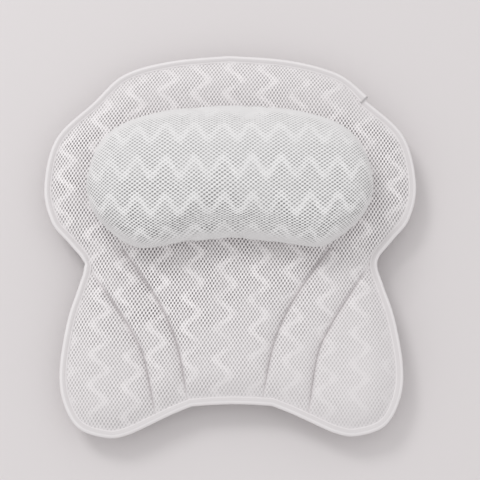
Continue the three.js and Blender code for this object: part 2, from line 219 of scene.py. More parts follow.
def right_of(along):
    """Unit vectors that point to the right of the given directions."""
    along = along / np.linalg.norm(along, axis=1)[:, None]
    return np.stack([along[:, 1], -along[:, 0]], 1)


pad_scale = (half_width, half_length)
lobe = even_spline(lobe_shares, pad_scale, outline_step)
wing = even_spline(wing_shares, pad_scale, outline_step)
strip_end = even_spline(strip_end_shares, pad_scale, outline_step)
bottom = even_spline(bottom_shares, pad_scale, outline_step)
waist = lobe[-1]


rounding_passes = 30
rounding_full_share, rounding_end_share = 0.6, 1.3


def rounded_near(loop, corner, reach):
    """Smooths a closed line near a corner, and leaves it as it is further off."""
    away = np.linalg.norm(loop - corner, axis=1)
    near = 1 - smoothstep(reach * rounding_full_share, reach * rounding_end_share, away)
    line = loop.copy()
    for _ in range(rounding_passes):
        mean = (np.roll(line, 1, axis=0) + np.roll(line, -1, axis=0)) / 2
        line += (mean - line) / 2 * near[:, None]
    return line


outline = both_halves(np.concatenate([lobe[:-1], wing[:-1], strip_end[:-1], bottom]))
for corner in (waist, mirrored(waist)):
    outline = rounded_near(outline, corner, waist_rounding)


def offset_loop(loop, distance):
    """Moves a closed clockwise line inwards, by one distance or by one for each point."""
    along = np.roll(loop, -1, axis=0) - np.roll(loop, 1, axis=0)
    return loop + right_of(along) * np.reshape(distance, (-1, 1))


class Lines:
    """Distances to a set of stitched lines, each with its own flat strip."""

    places_at_once = 1500

    def __init__(self, lines):
        self.points = np.concatenate([line[:-1] for line, _ in lines])
        self.ends = np.concatenate([line[1:] for line, _ in lines])
        self.flange = np.concatenate([np.full(len(line) - 1, flange) for line, flange in lines])
        self.starts = np.concatenate([walked(line)[:-1] for line, _ in lines])

    def nearest(self, places):
        """For each place: distance less the flange, distance, place along the line, and how
        far right of the line."""
        along = self.ends - self.points
        squared = (along**2).sum(1)
        results = []
        for chunk in np.array_split(places, max(1, len(places) // self.places_at_once)):
            to = chunk[:, None, :] - self.points[None]
            share = np.clip((to * along).sum(2) / squared, 0, 1)
            distance = np.linalg.norm(to - share[:, :, None] * along, axis=2)
            best = (distance - self.flange).argmin(1)
            rows = np.arange(len(chunk))
            step = share[rows, best] * np.sqrt(squared[best])
            right = chunk[:, 0] - self.points[best, 0] - share[rows, best] * along[best, 0]
            results.append(np.stack([
                distance[rows, best] - self.flange[best], distance[rows, best],
                self.starts[best] + step, right,
            ], 1))
        return np.concatenate(results)


def sewn_seam(shares, strays):
    """A seam of the right half, moved outwards by its strays and run out past the rim."""
    line = even_spline(shares, pad_scale, outline_step)
    line[:, 0] += np.linspace(*strays, len(line))
    return np.concatenate([line, line[-1:] - (0, seam_overrun)])


hands = {"right": 1, "left": -1}
seam_shares = {"inner": inner_seam_shares, "outer": outer_seam_shares}
half_seams = {
    (kind, hand): sewn_seam(seam_shares[kind], strays)
    for (kind, hand), strays in seam_strays.items()
}
closed_outline = np.concatenate([outline, outline[:1]])
seams = [line * (hands[hand], 1) for (_, hand), line in half_seams.items()]
taped = Lines([(closed_outline, tape_flange)])
crease = Lines([(even_spline(crease_shares, pad_scale, outline_step), 0.0)])
seam_lines = Lines([(seam, 0.0) for seam in seams])


def crown(places, rise):
    """Height of the pad's face over its middle, for a face that rises so far."""
    clear, _, along_rim, _ = taped.nearest(places).T
    _, to_seam, along_seam, right = seam_lines.nearest(places).T
    run = np.clip(clear / crown_run, 0, 1)
    flat = cloth_half - (cloth_half - seam_half) * np.exp(-to_seam / groove_run)
    dip_run = np.where(right < 0, seam_dip_left, seam_dip_right)
    dip = 1 - seam_dip_share * np.exp(-to_seam / dip_run)
    full = flat + (rise - cloth_half) * (1 - (1 - run) ** crown_fullness) * dip
    lumps = np.array([noise.noise(Vector((x, y, rise)) / lump_size) for x, y in places])
    full += lumps * lump_rise * smoothstep(0, 1, run)
    if rise == front_rise:
        full -= crease_depth * np.exp(-crease.nearest(places)[:, 1] / crease_run)
    for near, along in ((clear, along_rim), (to_seam, along_seam)):
        pucker = np.array([noise.noise(Vector((s / pucker_size, rise, 0))) for s in along])
        window = smoothstep(0, pucker_reach * pucker_start_share, near)
        window *= np.exp(-np.maximum(near, 0) / pucker_reach)
        full += pucker * pucker_rise * window
    return full


def inside(places, polygon):
    """Which places lie inside a polygon."""
    result = np.zeros(len(places), bool)
    for a, b in zip(polygon, np.roll(polygon, -1, axis=0)):
        crosses = (a[1] > places[:, 1]) != (b[1] > places[:, 1])
        height = np.where(crosses, b[1] - a[1], 1)
        at = a[0] + (places[:, 1] - a[1]) / height * (b[0] - a[0])
        result ^= crosses & (places[:, 0] < at)
    return result


# The hidden cut beside each shoulder: from the seam's top along the fold's axis under the
# cushion, then square to it out to the rim
strip_axis = -np.array(joints["strip_fold_right"]["axis"][:2], float)
strip_across = np.array([strip_axis[1], -strip_axis[0]])
beyond = np.array((2 * half_width, 2 * half_length))


def half_cuts(hand):
    """The cut's two parts, as seen on the right half."""
    seam_top = half_seams["inner", hand][0]
    cut_top = seam_top + strip_axis * cut_length
    cut_out = cut_top + strip_across * half_width / 2
    parts = ((seam_top, cut_top), (cut_top, cut_out))
    return [even_steps(np.stack(ends), outline_step) for ends in parts]


def half_polygons(hand):
    """The strip's and the wing's part of the plan, both as seen on the right half."""
    inner, outer = half_seams["inner", hand], half_seams["outer", hand]
    cut_inner, cut_outer = half_cuts(hand)
    beside_waist = (beyond[0], waist[1])
    inner_foot, outer_foot = (inner[-1, 0], -beyond[1]), (outer[-1, 0], -beyond[1])
    strip = [*cut_inner[::-1], *inner, inner_foot, outer_foot, *outer[::-1], beside_waist]
    wing_part = [*outer, outer_foot, (beyond[0], -beyond[1]), beside_waist]
    return np.array([*strip, *cut_outer[::-1]]), np.array(wing_part)


def grid_points(spacing):
    """Points in even rows over the pad, each row half a step on."""
    rows = np.arange(-half_length, half_length, spacing * math.sqrt(3) / 2)
    places = []
    for k, y in enumerate(rows):
        xs = np.arange(-half_width, half_width, spacing) + spacing / 2 * (k % 2)
        places.append(np.stack([xs, np.full(len(xs), y)], 1))
    return np.concatenate(places)


# How clear of the fixed lines the free points stay: beside the seams as a share of the
# nearest row, and in the grid as a share of its spacing
beside_clear_share, grid_clear_share = 0.8, 0.4


def triangulate(spacing, rows):
    """The pad's plan in triangles, with the seams and cuts among their edges."""
    rim = offset_loop(outline, rim_inset)
    lines = [*seams]
    for hand, side in hands.items():
        lines += [line * (side, 1) for line in half_cuts(hand)]
    fixed = [*rim]
    edges = [(k, (k + 1) % len(rim)) for k in range(len(rim))]
    for line in lines:
        start = len(fixed)
        fixed += [*line]
        edges += [(start + k, start + k + 1) for k in range(len(line) - 1)]
    every = Lines([(np.concatenate([rim, rim[:1]]), 0.0), *[(line, 0.0) for line in lines]])
    beside = []
    for seam in seams:
        across = right_of(np.gradient(seam, axis=0))
        beside += [seam + across * side * row for row in rows for side in (1, -1)]
    beside = np.concatenate(beside)
    beside = beside[every.nearest(beside)[:, 1] > min(rows) * beside_clear_share]
    grid = grid_points(spacing)
    grid = grid[every.nearest(grid)[:, 1] > max(rows) + spacing * grid_clear_share]
    free = np.concatenate([beside, grid])
    free = free[inside(free, rim)]
    points = [Vector(p) for p in [*fixed, *free]]
    places, _, faces, _, _, _ = delaunay_2d_cdt(points, edges, [], 1, same_place)
    return np.array([tuple(p) for p in places]), np.array(faces)


panel_names = ["main", "strip_right", "strip_left", "wing_right", "wing_left"]


def panel_of(places):
    """Which panel each place belongs to, as an index into the panel names."""
    panel = np.zeros(len(places), int)
    for hand, side in hands.items():
        for kind, polygon in zip(("strip", "wing"), half_polygons(hand)):
            panel[inside(places * (side, 1), polygon)] = panel_names.index(f"{kind}_{hand}")
    return panel


def link(name, vertices, faces):
    mesh = bpy.data.meshes.new(name)
    mesh.from_pydata([tuple(v) for v in vertices], [], [tuple(int(i) for i in f) for f in faces])
    mesh.update()
    piece = bpy.data.objects.new(name, mesh)
    bpy.context.scene.collection.objects.link(piece)
    return piece


def open_edges(faces):
    """Directed edges that only one of the faces has."""
    edges = [edge for face in faces for edge in zip(face, face[1:] + face[:1])]
    found = set(edges)
    return [(a, b) for a, b in edges if (b, a) not in found]


def ring_faces(rings, sides, turned=False, closed=False):
    """Faces with four corners between rings of points, each ring next to the one before."""
    faces = []
    for i in range(rings if closed else rings - 1):
        for j in range(sides):
            here, there, step = i * sides, (i + 1) % rings * sides, (j + 1) % sides
            a, b, c, d = here + j, here + step, there + step, there + j
            faces.append((a, d, c, b) if turned else (a, b, c, d))
    return faces


def smooth(mesh):
    mesh.polygons.foreach_set("use_smooth", [True] * len(mesh.polygons))


def smooth_skin(mesh, normals, count):
    """Shades the first faces of a mesh with given normals, and leaves the others flat."""
    smooth(mesh)
    split = []
    for k, polygon in enumerate(mesh.polygons):
        for loop in polygon.loop_indices:
            vertex = mesh.loops[loop].vertex_index
            split.append(tuple(normals[vertex] if k < count else polygon.normal))
    mesh.normals_split_custom_set(split)


def point_normals(mesh):
    return np.array([tuple(vertex.normal) for vertex in mesh.vertices])


def half_body(name, places, heights, faces, normals, up, sheet):
    """One face of a panel, closed by its rim and a flat sheet at the pad's middle. The
    normals are those of the whole pad, so that no joint between two pieces shows."""
    used = np.unique(faces)
    renumber = {int(old): new for new, old in enumerate(used)}
    skin = [tuple(renumber[int(i)] for i in face) for face in faces]
    points = [(*places[i], heights[i]) for i in used]
    rim = open_edges(skin)
    rim_points = sorted({i for edge in rim for i in edge})
    low = {i: len(points) + k for k, i in enumerate(rim_points)}
    points += [(points[i][0], points[i][1], sheet) for i in rim_points]
    walls = [(b, a, low[a], low[b]) for a, b in rim]
    order = {i: k for k, i in enumerate(rim_points)}
    flat = [Vector(points[i][:2]) for i in rim_points]
    edges = [(order[a], order[b]) for a, b in rim]
    _, _, caps, _, _, _ = delaunay_2d_cdt(flat, edges, [], 1, same_rim_place)
    caps = [tuple(low[rim_points[i]] for i in reversed(cap)) for cap in caps]
    every = [*skin, *walls, *caps]
    if not up:
        every = [tuple(reversed(face)) for face in every]
    piece = link(name, points, every)
    smooth_skin(piece.data, normals[used], len(skin))
    return piece


on_line_distance = 1e-5


def split_normals(places, heights, faces, panels):
    """Normals at the points of the plan: one set for each panel, so that a seam stays a
    sharp crease."""
    points = np.concatenate([places, heights[:, None]], 1)
    a, b, c = points[faces[:, 0]], points[faces[:, 1]], points[faces[:, 2]]
    face_normals = np.cross(b - a, c - a)
    result = {}
    for k, panel in enumerate(panel_names):
        total = np.zeros_like(points)
        chosen = panels == k
        for corners in faces[chosen].T:
            np.add.at(total, corners, face_normals[chosen])
        result[panel] = total
    cut_lines = Lines([
        (line * (side, 1), 0.0)
        for hand, side in hands.items() for inner, outer in [half_cuts(hand)]
        for line in (inner[1:], outer)
    ])
    on_cut = cut_lines.nearest(places)[:, 1] < on_line_distance
    everywhere = sum(result.values())
    for panel, total in result.items():
        total[on_cut] = everywhere[on_cut]
        total /= np.maximum(np.linalg.norm(total, axis=1), no_length)[:, None]
    return result


# How the cloth's own grid lies on the pad: turned a little about a point, stretched and
# shifted, with each wing's piece shifted against the middle panel's
pad_turn = math.radians(2.5)
pad_turn_centre = np.array((-0.0047, -0.047))
pad_stretch = (0.984, 0.968)
pad_cloth_shift = (0.0045, -0.0005)
wing_cloth_shift = {"wing_left": 0.0118, "wing_right": 0.0}
cloth_drift_size, cloth_drift_reach = 0.04, 0.0014
cloth_drift_seed = 1

# How open the cloth's holes look: most over the upper middle and the lobes, less towards the
# foot, the head end and the wings, and least where the cloth is sewn down. The darker holes
# near the cushion are partly painted shade of the cushion. Over the foot half the left is
# painted darker and the right paler, partly painted light
open_foot, open_middle_painted_shade, open_head, open_wing = 0.47, 0.92, 0.66, 0.78
open_foot_y, open_middle_y = -0.165, -0.04
open_head_start, open_head_end = 0.11, 0.16
open_wing_start, open_wing_end = 0.085, 0.13
open_left_painted_shade, open_right_painted_light = 1.22, 0.66
open_left_x, open_right_x = -0.16, 0.12
open_side_foot_y, open_side_head_y = -0.07, 0.0
open_sewn, open_sewn_run = 0.45, 0.004
open_join_run, open_join_reach = 0.009, 0.03
open_seam_run = 0.001


def pad_openness_and_painted_shade(places):
    x, y = abs(places[:, 0]), places[:, 1]
    # Painted shade: the holes darken from the foot up towards the cushion.
    towards_foot = smoothstep(open_foot_y, open_middle_y, y)
    openness = open_foot + (open_middle_painted_shade - open_foot) * towards_foot
    openness *= 1 - (1 - open_head) * smoothstep(open_head_start, open_head_end, y)
    on_wing = smoothstep(open_wing_start, open_wing_end, x) * smoothstep(0, open_middle_y, y)
    openness *= 1 - (1 - open_wing) * on_wing
    # Painted light and shade: over the foot half the right is paler and the left darker.
    towards_painted_light_right = smoothstep(open_left_x, open_right_x, places[:, 0])
    footwards = 1 - smoothstep(open_side_foot_y, open_side_head_y, y)
    openness *= 1 + (open_left_painted_shade + (open_right_painted_light - open_left_painted_shade) * towards_painted_light_right - 1) * footwards
    to_join = np.linalg.norm(places - np.array(tape_join_share) * pad_scale, axis=1)
    run = open_sewn_run + open_join_run * np.exp(-((to_join / open_join_reach) ** 2))
    beyond_tape = np.maximum(taped.nearest(places)[:, 0], 0)
    openness *= 1 - (1 - open_sewn) * np.exp(-beyond_tape / run)
    return openness * (1 - np.exp(-seam_lines.nearest(places)[:, 1] / open_seam_run))


def cloth_drift(places):
    """How far the cloth's grid wanders from an even one, alike in every run."""
    noise.seed_set(cloth_drift_seed)
    drifts = [noise.noise_vector(Vector((*place, 0)) / cloth_drift_size)[:2] for place in places]
    return np.array(drifts) * cloth_drift_reach


def pad_cloth(places, panel):
    away = places - pad_turn_centre
    cos, sin = math.cos(pad_turn), math.sin(pad_turn)
    turned = np.stack([away[:, 0] * cos - away[:, 1] * sin, away[:, 0] * sin + away[:, 1] * cos], 1)
    shift = (wing_cloth_shift.get(panel, 0.0), 0.0)
    return (turned + pad_turn_centre - shift + pad_cloth_shift) * pad_stretch + cloth_drift(places)


def dress_cloth(piece, coordinates, openness):
    """Stores where each point lies on the flat cloth, and how open its holes are there. On the
    pad that value carries painted shade and light too, and on the tape it marks the painted
    shade at the join.
    """
    attribute = piece.data.attributes.new("cloth", "FLOAT_VECTOR", "POINT")
    values = np.concatenate([coordinates, openness[:, None]], 1)
    attribute.data.foreach_set("vector", values.astype(np.float32).ravel())


def vertex_places(piece):
    places = np.zeros(len(piece.data.vertices) * 3)
    piece.data.vertices.foreach_get("co", places)
    return places.reshape(-1, 3)


def move_points(piece, places):
    piece.data.vertices.foreach_set("co", places.ravel())
    piece.data.update()


def finish_piece(piece, surface, body=None, replaces=()):
    piece.data.materials.append(surface)
    if body:
        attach(piece, body)
    if replaces:
        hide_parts(*replaces)


def bend_strip(piece):
    """Bakes the piece's placement into its points."""
    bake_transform(piece)


def bend_wing(piece):
    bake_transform(piece)


def follow(piece, kind):
    """Attaches a piece to the root body; a strip, shoulder or wing piece only has its placement
    baked into its points.
    """
    if kind == "wing":
        bend_wing(piece)
    elif kind in ("strip", "shoulder"):
        bend_strip(piece)
    else:
        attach(piece, "root")


def build_pad(surface):
    """Front and back half of each quilted panel."""
    for layer, spacing, rows, rise, up in (
        ("front", front_spacing, groove_rows, front_rise, True),
        ("back", back_spacing, groove_rows[1::2], back_rise, False),
    ):
        places, faces = triangulate(spacing, rows)
        panels = panel_of(places[faces].mean(1))
        height = crown(places, rise) * (1 if up else -1)
        normals = split_normals(places, height, faces, panels)
        for k, panel in enumerate(panel_names):
            chosen = faces[panels == k]
            facing = normals[panel] * (1 if up else -1)
            name = f"pad_{layer}_{panel}"
            piece = half_body(name, places, mid_z + height, chosen, facing, up, mid_z)
            flat = vertex_places(piece)[:, :2]
            dress_cloth(piece, pad_cloth(flat, panel), pad_openness_and_painted_shade(flat))
            nodes = [f"{layer}_mesh_{panel}"] + ([f"filling_{panel}"] if up else [])
            finish_piece(piece, surface, replaces=nodes)
            kind, _, hand = panel.partition("_")
            follow(piece, kind)


# Edge tape: its section as shares of its depth and of half its height
tape_depth = 0.008
tape_section_shares = [
    (1, 0.42), (1, 0.72), (0.93, 0.8), (0.86, 0.76), (0.8, 0.79), (0.7, 0.93), (0.5, 1),
    (0.3, 0.96), (0.14, 0.82), (0.04, 0.52), (0, 0.2),
]
tape_slot_shares = [(1, 0.42), (0.25, 0.42)]

# Where the tape's two ends overlap, and where it is nipped at a corner, as shares of the pad
tape_join_share = (0.74, 0.75)
tape_join_length = 0.02
tape_join_swell = 0.3
tape_bulge = 0.0036
tape_bulge_full, tape_bulge_length = 0.012, 0.06
# Half the width of the painted shade line at the join
tape_join_shade_half = 0.0008
tape_nip_share = (-0.767, -0.107)
tape_nip_half = 0.0022
tape_nip_shrink = 0.3


def tape_section():
    upper = np.array(tape_section_shares)
    lower = upper[::-1] * (1, -1)
    slot = np.array(tape_slot_shares)
    closed = np.concatenate([upper, lower, slot[1:][::-1] * (1, -1), slot[1:]])
    return closed * (tape_depth, tape_half)


def sweep_rings(path, section, sizes, bulge):
    """Rings of a section along a closed clockwise line: x of the section points inwards. The
    sizes scale the section about its middle at each point, and the bulge moves it outwards."""
    middle = tape_depth / 2
    lines = []
    for x, z in section:
        inwards = middle + (x - middle) * sizes - bulge
        lines.append(np.column_stack([offset_loop(path, inwards), mid_z + z * sizes]))
    return np.stack(lines, 1)


def tape_marks(lengths):
    """Where along the outline the tape's join and its nip are."""
    return [
        lengths[nearest_index(outline, np.array(share) * pad_scale)]
        for share in (tape_join_share, tape_nip_share)
    ]


def tape_sizes(lengths):
    """For each point of the outline: how wide and thick the tape is there, as a share of its
    usual size, and how far it stands out before its join."""
    whole = lengths[-1] + outline_step
    join, nip = tape_marks(lengths)
    before_join = (join - lengths) % whole
    lap = np.clip(1 - before_join / tape_join_length, 0, 1) * (before_join < tape_join_length)
    nipped = np.exp(-((lengths - nip) / tape_nip_half) ** 2)
    sizes = 1 + tape_join_swell * lap - tape_nip_shrink * nipped
    return sizes, tape_bulge * smoothstep(tape_bulge_length, tape_bulge_full, before_join)


def nearest_index(points, place):
    return int(np.linalg.norm(points - place, axis=1).argmin())


def bend_tape_foot(piece):
    """Bakes the tape piece's placement into its points."""
    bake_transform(piece)


def tape_normals(rings):
    """Normals of the whole tape, so that no joint between two stretches shows."""
    count, sides = rings.shape[:2]
    whole = link("tape_whole", rings.reshape(-1, 3), ring_faces(count, sides, closed=True))
    smooth(whole.data)
    normals = point_normals(whole.data).reshape(count, sides, 3)
    bpy.data.objects.remove(whole)
    return normals


def tape_runs():
    """The tape's stretches, cut where the pad's panels end: the name of each, and its first
    and last point of the outline."""
    count = len(outline)
    half_outline = outline[: count // 2]
    shoulder_top = half_outline[inside(half_outline, half_polygons("right")[0])][0]
    right, left = (
        {
            name: nearest_index(outline, place * (side, 1)) for name, place in (
                ("shoulder", shoulder_top), ("waist", waist),
                ("outer", half_seams["outer", hand][-1]), ("inner", half_seams["inner", hand][-1]),
            )
        }
        for hand, side in hands.items()
    )
    return [
        ("head", left["shoulder"], right["shoulder"] + count),
        ("shoulder_right", right["shoulder"], right["waist"]),
        ("wing_right", right["waist"], right["outer"]),
        ("strip_right", right["outer"], right["inner"]),
        ("foot", right["inner"], left["inner"]),
        ("strip_left", left["inner"], left["outer"]),
        ("wing_left", left["outer"], left["waist"]),
        ("shoulder_left", left["waist"], left["shoulder"]),
    ]


def build_tape(surface):
    """The tape is one closed sweep, cut into its stretches."""
    section = tape_section()
    around = walked(section)
    lengths = walked(outline)
    rings = sweep_rings(outline, section, *tape_sizes(lengths))
    count, sides = rings.shape[:2]
    normals = tape_normals(rings)
    join, _ = tape_marks(lengths)
    for name, first, last in tape_runs():
        kind, _, hand = name.partition("_")
        steps = [k % count for k in range(first, last + 1)]
        faces = ring_faces(len(steps), sides)
        skin_count = len(faces)
        end = (len(steps) - 1) * sides
        faces.append(tuple(range(sides))[::-1])
        faces.append(tuple(end + j for j in range(sides)))
        piece = link(f"tape_{name}", rings[steps].reshape(-1, 3), faces)
        smooth_skin(piece.data, normals[steps].reshape(-1, 3), skin_count)
        along = np.repeat(lengths[steps], sides)
        across = np.tile(around, len(steps))
        # Painted shade: a dark line where one end of the tape laps over the other.
        clear_of_join_shade = 1 - np.exp(-(((along - join) / tape_join_shade_half) ** 2))
        dress_cloth(piece, np.stack([along, across], 1), clear_of_join_shade)
        nodes = [] if kind == "shoulder" else [f"edge_tape_{name}"]
        finish_piece(piece, surface, replaces=nodes)
        if kind == "strip":
            bend_tape_foot(piece)
        else:
            follow(piece, kind)


# Cushion
cushion_steps = 0.004
cushion_voxel = 0.004
cushion_start_share = 0.99
cushion_smoothing = 6
cushion_growth = 0.006
cushion_fabric = {
    "quality": 8, "mass": 0.25, "tension_stiffness": 12, "compression_stiffness": 8,
    "bending_stiffness": 0.6, "shrink_min": -cushion_growth, "shrink_max": -cushion_growth,
    "use_pressure": True, "uniform_pressure_force": 4.0, "vertex_group_mass": "held",
}
cushion_swell_cap = 0.007
cushion_settle_frames = 20
cushion_bury = 0.002
cushion_held_height = 0.006
cushion_stretch = (1.035, 0.89)
cushion_cloth_shift = (-0.0083, -0.0252)

# How open the cover's holes look: they close where the cover turns down, soonest at its
# head side, and its foot half is a little more open than its head half. The paler head half
# and darker foot half are partly painted light and shade, as the light falls from the head end
cushion_closes_at_head = 0.6
cushion_closes_at_foot = 0.05
cushion_patchiness, cushion_patch_size = 0.16, 0.022
cushion_open_from, cushion_open_to = 0.08, 0.46
cushion_open_head_painted_light, cushion_open_foot_painted_shade = 0.44, 0.92

# Soft folds round the foot of the cover: where each lies round the outline and how high, as
# shares, how far it runs as a share of the outline, how steeply it climbs, and how deep it is
cushion_fold_width = 0.0032
cushion_folds = [
    (0.655, 0.34, 0.055, 0.5, 0.0024), (0.6, 0.2, 0.06, -0.4, -0.002),
    (0.53, 0.3, 0.05, 0.3, 0.0022), (0.47, 0.22, 0.06, -0.5, 0.0018),
    (0.4, 0.34, 0.07, 0.35, -0.0016), (0.345, 0.24, 0.05, -0.3, 0.002),
    (0.73, 0.28, 0.05, -0.5, 0.0012), (0.27, 0.3, 0.05, 0.4, 0.001),
]


def cushion_outline():
    scale = (cushion_half_width, cushion_half_depth)
    right = even_spline(cushion_shares, scale, cushion_steps)
    loop = both_halves(right)
    for middle in (right[0], right[-1]):
        loop = rounded_near(loop, middle, cushion_rounding)
    return loop + (0, cushion_centre_y)


def cushion_rings():
    """Rings of the cushion from its foot to its crest, and where they lie on the cloth."""
    scale = (cushion_half_depth, cushion_height)
    line = even_spline(cushion_profile_shares, scale, cushion_steps)
    lengths = walked(line)
    loop = cushion_outline()
    crest = loop * (cushion_crest_half / cushion_half_width, 0) + (0, cushion_centre_y)
    foot = mid_z + crown(loop, front_rise) - cushion_bury
    rings, cloth = [], []
    for (inset, up), done in zip(line, lengths):
        share = inset / cushion_half_depth
        place = loop + (crest - loop) * share
        lift = 1 - up / cushion_height
        z = cushion_low.z + up + (foot - cushion_low.z) * max(lift, 0) ** 2
        rings.append(np.concatenate([place, z[:, None]], 1))
        outwards = (loop - crest) / cushion_half_depth
        cloth.append(crest + outwards * (lengths[-1] - done))
    return np.array(rings), np.array(cloth)


def cushion_shape(name, share=1.0):
    """The cushion as rings; a share under 1 draws them in towards its middle."""
    rings, cloth = cushion_rings()
    middle = np.array([0, cushion_centre_y, cushion_low.z])
    rings = middle + (rings - middle) * share
    levels, sides = rings.shape[:2]
    faces = ring_faces(levels, sides, turned=True)
    faces.append(tuple((levels - 1) * sides + i for i in reversed(range(sides))))
    faces.append(tuple(range(sides)))
    return link(name, rings.reshape(-1, 3), faces), cloth, sides


def apply_modifiers(piece):
    """Bakes the modifiers into the mesh as they stand now."""
    graph = bpy.context.evaluated_depsgraph_get()
    mesh = bpy.data.meshes.new_from_object(piece.evaluated_get(graph))
    piece.modifiers.clear()
    old = piece.data
    piece.data = mesh
    bpy.data.meshes.remove(old)


def remesh(piece, voxel, smoothing):
    """Evens out the piece's faces, then smooths it half way to the mean so many times."""
    coarse = piece.modifiers.new("remesh", "REMESH")
    coarse.mode = "VOXEL"
    coarse.voxel_size = voxel
    softer = piece.modifiers.new("smooth", "SMOOTH")
    softer.factor = 1 / 2
    softer.iterations = smoothing
    apply_modifiers(piece)


def swell(piece, held, cap):
    """Blows the cover up like a filled one; the held points stay."""
    before = vertex_places(piece)
    group = piece.vertex_groups.new(name="held")
    group.add([int(i) for i in np.flatnonzero(held)], 1.0, "REPLACE")
    cloth = piece.modifiers.new("cloth", "CLOTH")
    for setting, value in cushion_fabric.items():
        setattr(cloth.settings, setting, value)
    cloth.settings.effector_weights.gravity = 0
    cloth.point_cache.frame_end = cushion_settle_frames
    scene = bpy.context.scene
    for step in range(1, cushion_settle_frames + 1):
        scene.frame_set(step)
    apply_modifiers(piece)
    scene.frame_set(1)
    piece.vertex_groups.clear()
    moved = vertex_places(piece) - before
    reach = np.linalg.norm(moved, axis=1)[:, None]
    moved *= np.minimum(1, cap / np.maximum(reach, no_length))
    move_points(piece, before + moved)


def fit_cushion(piece):
    """Brings the swollen cover back to its own width, depth and height."""
    places = vertex_places(piece)
    low, high = places.min(0), places.max(0)
    middle = (low + high) / 2
    scale = 2 * np.array((cushion_half_width, cushion_half_depth)) / (high - low)[:2]
    centre = (0, cushion_centre_y + cushion_sits_headwards)
    places[:, :2] = (places[:, :2] - middle[:2]) * scale + centre
    lift = np.maximum(places[:, 2] - cushion_low.z, 0)
    places[:, 2] += lift * (cushion_height / (high[2] - cushion_low.z) - 1)
    move_points(piece, places)


def cushion_fold_depth(around, up):
    """How far the soft folds push a point of the cover outwards."""
    depth = 0
    for place, height, run, climb, deep in cushion_folds:
        beside = (around - place + 1 / 2) % 1 - 1 / 2
        off = (up - height - beside * climb) * cushion_height / cushion_fold_width
        depth += deep * smoothstep(run, 0, abs(beside)) * math.exp(-(off**2))
    return depth


def cushion_openness(places, facings):
    """How open the cover's holes look, from where its points lie and which way they face. The
    head half is painted paler and the foot half darker, partly painted light and shade.
    """
    facing = facings[:, 2] - cushion_closes_at_head * np.maximum(facings[:, 1], 0)
    facing -= cushion_closes_at_foot * np.maximum(-facings[:, 1], 0)
    patches = [noise.noise(Vector(place) / cushion_patch_size) for place in places]
    facing += cushion_patchiness * np.array(patches)
    openness = smoothstep(cushion_open_from, cushion_open_to, facing)
    half = cushion_half_depth
    # Painted light and shade: paler towards the head, darker towards the foot.
    towards_painted_light_head = smoothstep(-half, half, places[:, 1] - cushion_centre_y)
    return openness * (cushion_open_foot_painted_shade + (cushion_open_head_painted_light - cushion_open_foot_painted_shade) * towards_painted_light_head)


def filled_cushion():
    """The cover, swollen like a filled one and brought back to its own size."""
    cushion, _, _ = cushion_shape("cushion", cushion_start_share)
    remesh(cushion, cushion_voxel, cushion_smoothing)
    places = vertex_places(cushion)
    held = places[:, 2] < mid_z + crown(places[:, :2], front_rise) + cushion_held_height
    swell(cushion, held, cushion_swell_cap)
    fit_cushion(cushion)
    divide = cushion.modifiers.new("divide", "SUBSURF")
    divide.levels = 1
    divide.render_levels = 1
    apply_modifiers(cushion)
    smooth(cushion.data)
    return cushion


def cushion_marks(places):
    """For each place on the filled cover: where it lies on the flat cloth, which way the
    cushion as drawn faces there, and how far a soft fold pushes it outwards."""
    drawn, cloth, sides = cushion_shape("cushion_drawn")
    points = [v.co.copy() for v in drawn.data.vertices]
    normals = point_normals(drawn.data)
    polygons = [tuple(p.vertices) for p in drawn.data.polygons][:-1]
    bpy.data.objects.remove(drawn)
    flat = cloth.reshape(-1, 2)
    tree = BVHTree.FromPolygons(points, polygons)
    coordinates, facings, folded = [], [], []
    for x, y, z in places:
        nearest, _, index, _ = tree.find_nearest((x, y, z))
        corners = polygons[index]
        if len(corners) == sides:
            coordinates.append((x, y))
            facings.append((0, 0, 1))
            folded.append(0)
            continue
        weights = poly_3d_calc([points[i] for i in corners], nearest)
        coordinates.append(sum(w * flat[i] for w, i in zip(weights, corners)))
        facings.append(sum(w * normals[i] for w, i in zip(weights, corners)))
        around = (index % sides + 1 / 2) / sides
        up = (nearest.z - cushion_low.z) / cushion_height
        folded.append(cushion_fold_depth(around, up))
    return np.array(coordinates), np.array(facings), np.array(folded)


def build_cushion(surface):
    cushion = filled_cushion()
    coordinates, facings, folded = cushion_marks(vertex_places(cushion))
    normals = point_normals(cushion.data)
    moved = vertex_places(cushion) + normals * folded[:, None]
    move_points(cushion, moved)
    coordinates = (coordinates + cushion_cloth_shift) * cushion_stretch
    coordinates += cloth_drift(moved[:, :2])
    openness = cushion_openness(moved, (facings + normals) / 2)
    dress_cloth(cushion, coordinates[:, ::-1], openness)
    nodes = ["cushion_cover", "cushion_filling", "cushion_base_panel"]
    finish_piece(cushion, surface, "root", nodes)


# Suction cups and the webbing tabs that hold them
cup_profile_shares = {
    "outside": [(0.32, 1), (0.42, 0.96), (0.62, 0.79), (0.78, 0.58), (0.9, 0.34), (0.975, 0.14)],
    "inside": [(0.9, 0.05), (0.78, 0.27), (0.62, 0.44), (0.45, 0.6), (0.25, 0.74), (0, 0.8)],
}
cup_sides = 64
cup_play = 0.0005
cup_lip = 0.0013
cup_lip_width = 0.0012
cup_lip_rise = 0.0001
cup_neck = 0.0042
cup_neck_round = 0.0005
cup_neck_foot, cup_neck_foot_rise = 0.0009, 0.0006
cup_head = 0.0075
cup_head_thickness = 0.0036
cup_head_round = 0.0011
cup_head_under_round = 0.0006
cup_edge_round = 0.0003

